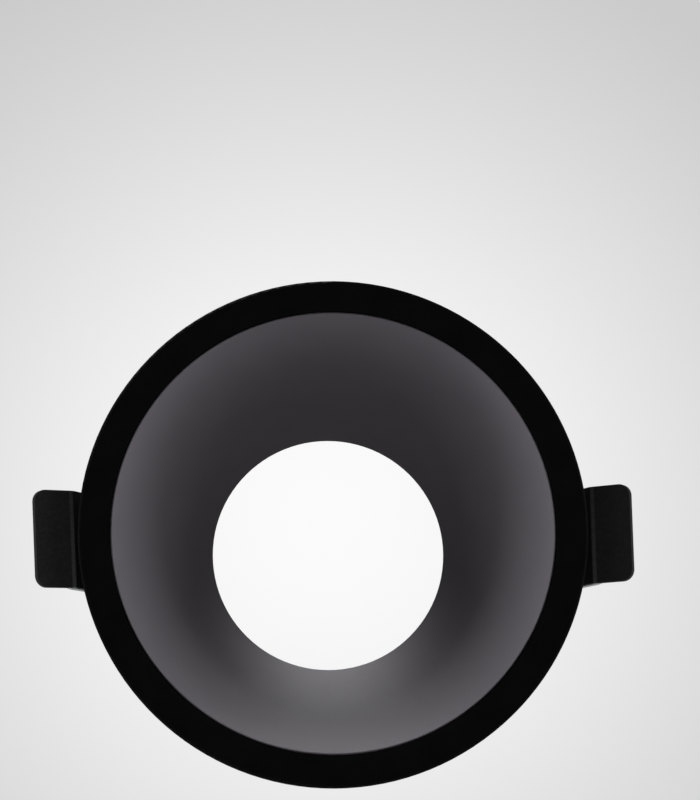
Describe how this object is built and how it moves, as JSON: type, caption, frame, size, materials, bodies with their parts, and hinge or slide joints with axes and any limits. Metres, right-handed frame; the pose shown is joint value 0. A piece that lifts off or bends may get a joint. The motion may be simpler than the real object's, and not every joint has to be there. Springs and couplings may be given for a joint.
{
  "type": "recessed downlight frame",
  "caption": "Round recessed soffit downlight frame with a flat flange, deep conical baffle, open lamp throat and sprung side clips.",
  "frame": {"origin": "on the ring's axis, in the plane of the flange's front face", "axes": "+Z up into the soffit, along the ring's axis (the light faces -Z); +X to the left clip as seen from below with +Y up; +Y up in the picture"},
  "size_m": [0.1069, 0.09, 0.0508],
  "materials": {
    "ring_black": "fine satin powder coat",
    "cone_grey": "matt paint",
    "seat_black": "satin powder coat",
    "clip_black": "satin coat on sheet steel",
    "foam_black": "closed-cell foam",
    "silicone_grey": "satin silicone",
    "seal_black": "satin",
    "spring_steel": "drawn wire, bright",
    "zinc_steel": "zinc plated",
    "dark_steel": "phosphated",
    "brass": "satin"
  },
  "bodies": {
    "frame": {"trim_ring": "ring_black", "ceiling_gasket": "foam_black", "baffle_cone": "cone_grey", "rim_seal": "seal_black", "cone_screws": "zinc_steel", "lamp_seat_ring": "seat_black", "lamp_seat_pad": "silicone_grey", "retaining_circlip": "spring_steel", "seat_screws": "zinc_steel", "earth_tag": "brass", "earth_washer": "zinc_steel", "earth_screw": "brass", "clip_bracket_left": "clip_black", "clip_bracket_right": "clip_black", "clip_screws": "zinc_steel", "clip_washers": "zinc_steel", "hinge_pin_left": "zinc_steel", "hinge_pin_right": "zinc_steel", "pin_clips": "dark_steel", "torsion_spring_left": "spring_steel", "torsion_spring_right": "spring_steel"},
    "flap_left": {"clip_flap_left": "clip_black"},
    "flap_right": {"clip_flap_right": "clip_black"}
  },
  "joints": [
    {"name": "clip_left_hinge", "type": "hinge", "parent": "frame", "child": "flap_left", "pos_m": [0.03625, 0.00003, 0.025], "axis": [-0.0471, -0.9989, 0], "range_deg": [0, 150], "stiffness_Nm_per_rad": 0.08, "springref_deg": -11.46, "deforming": ["torsion_spring_left"]},
    {"name": "clip_right_hinge", "type": "hinge", "parent": "frame", "child": "flap_right", "pos_m": [-0.03675, 0, 0.025], "axis": [0.0157, 0.9999, 0], "range_deg": [0, 150], "stiffness_Nm_per_rad": 0.08, "springref_deg": -11.46, "deforming": ["torsion_spring_right"]}
  ]
}
